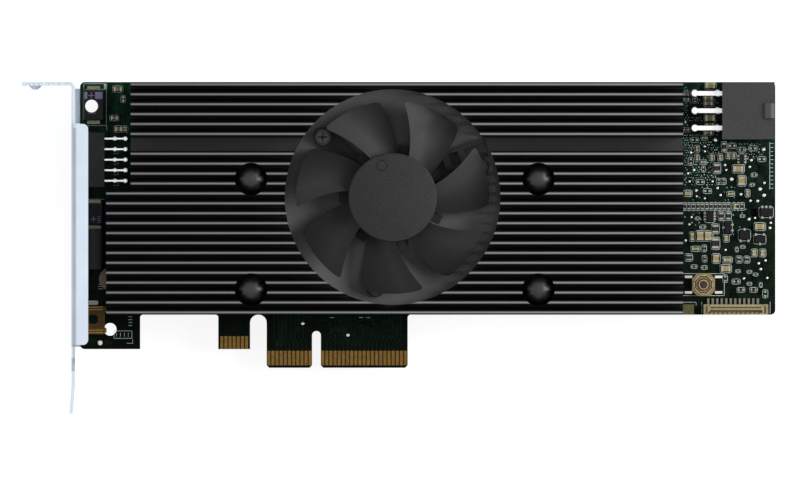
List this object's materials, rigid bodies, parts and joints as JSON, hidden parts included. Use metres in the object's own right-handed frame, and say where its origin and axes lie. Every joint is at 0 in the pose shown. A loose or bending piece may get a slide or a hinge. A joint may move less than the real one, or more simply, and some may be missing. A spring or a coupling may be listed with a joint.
{
  "type": "accelerator card",
  "caption": "Low-profile plug-in accelerator card with a sheet bracket, a ribbed black heatsink, a fan sunk into it and board-edge gold contacts.",
  "frame": {"origin": "where the centre line of the edge connector's key notch meets the line of the contact tips, on the component face of the circuit board", "axes": "+X along the card away from the bracket, +Y from the contact tips up to the card's long top edge, +Z out of the component face"},
  "size_m": [0.1818, 0.08, 0.0216],
  "materials": {
    "board": "satin",
    "gold": "polished",
    "bracket_steel": "satin",
    "black_anodised": "satin",
    "black_screw": "satin",
    "nut_steel": "satin",
    "chip": "matte",
    "thermal_pad": "matte",
    "choke_grey": "matte",
    "support": "matte",
    "fan_plastic": "satin",
    "zinc": "satin",
    "bearing_bronze": "satin",
    "core_steel": "satin",
    "winding": "satin",
    "magnet": "matte",
    "black_housing": "matte",
    "grey_housing": "matte",
    "tin": "satin",
    "beige_housing": "satin",
    "switch_black": "matte",
    "switch_cover_steel": "satin",
    "button_brown": "matte",
    "tantalum": "matte",
    "moulded_grey": "matte",
    "cream_lens": "matte",
    "side_brown": "satin",
    "capacitor_tan": "matte",
    "resistor_black": "matte",
    "oscillator_cap": "satin"
  },
  "bodies": {
    "card": {"circuit_board": "board", "edge_contacts": "gold", "bracket": "bracket_steel", "heatsink": "black_anodised", "heatsink_screws": "black_screw", "heatsink_nuts": "nut_steel", "processor_chips": "chip", "thermal_pads": "thermal_pad", "bridge_chip": "chip", "power_inductors": "choke_grey", "support_pad": "support", "fan_base": "fan_plastic", "fan_screws": "zinc", "fan_bearing": "bearing_bronze", "fan_core": "core_steel", "fan_windings": "winding", "fan_driver_board": "board", "power_housing": "grey_housing", "power_pins": "tin", "header_housing": "black_housing", "header_pins": "tin", "wire_housing": "beige_housing", "wire_pins": "tin", "switch_base": "switch_black", "switch_cover": "switch_cover_steel", "switch_dome": "nut_steel", "switch_terminals": "tin", "tantalum_bodies": "tantalum", "tantalum_terminals": "tin", "moulded_choke": "moulded_grey", "status_light": "cream_lens", "side_connector": "side_brown", "side_contacts": "gold", "ceramic_capacitors": "capacitor_tan", "capacitor_ends": "tin", "resistors": "resistor_black", "resistor_ends": "tin", "small_packages": "chip", "package_leads": "tin", "oscillator": "oscillator_cap"},
    "rotor": {"fan_impeller": "fan_plastic", "fan_yoke": "core_steel", "fan_magnet": "magnet", "fan_shaft": "nut_steel"},
    "button": {"switch_plunger": "button_brown"}
  },
  "joints": [
    {"name": "fan_spin", "type": "hinge", "parent": "card", "child": "rotor", "pos_m": [0.01837, 0.04116, 0.01], "axis": [0, 0, 1], "continuous": true},
    {"name": "button_press", "type": "slide", "parent": "card", "child": "button", "axis": [0, 0, -1], "range_m": [0, 0.00025], "stiffness_N_per_m": 2000}
  ]
}
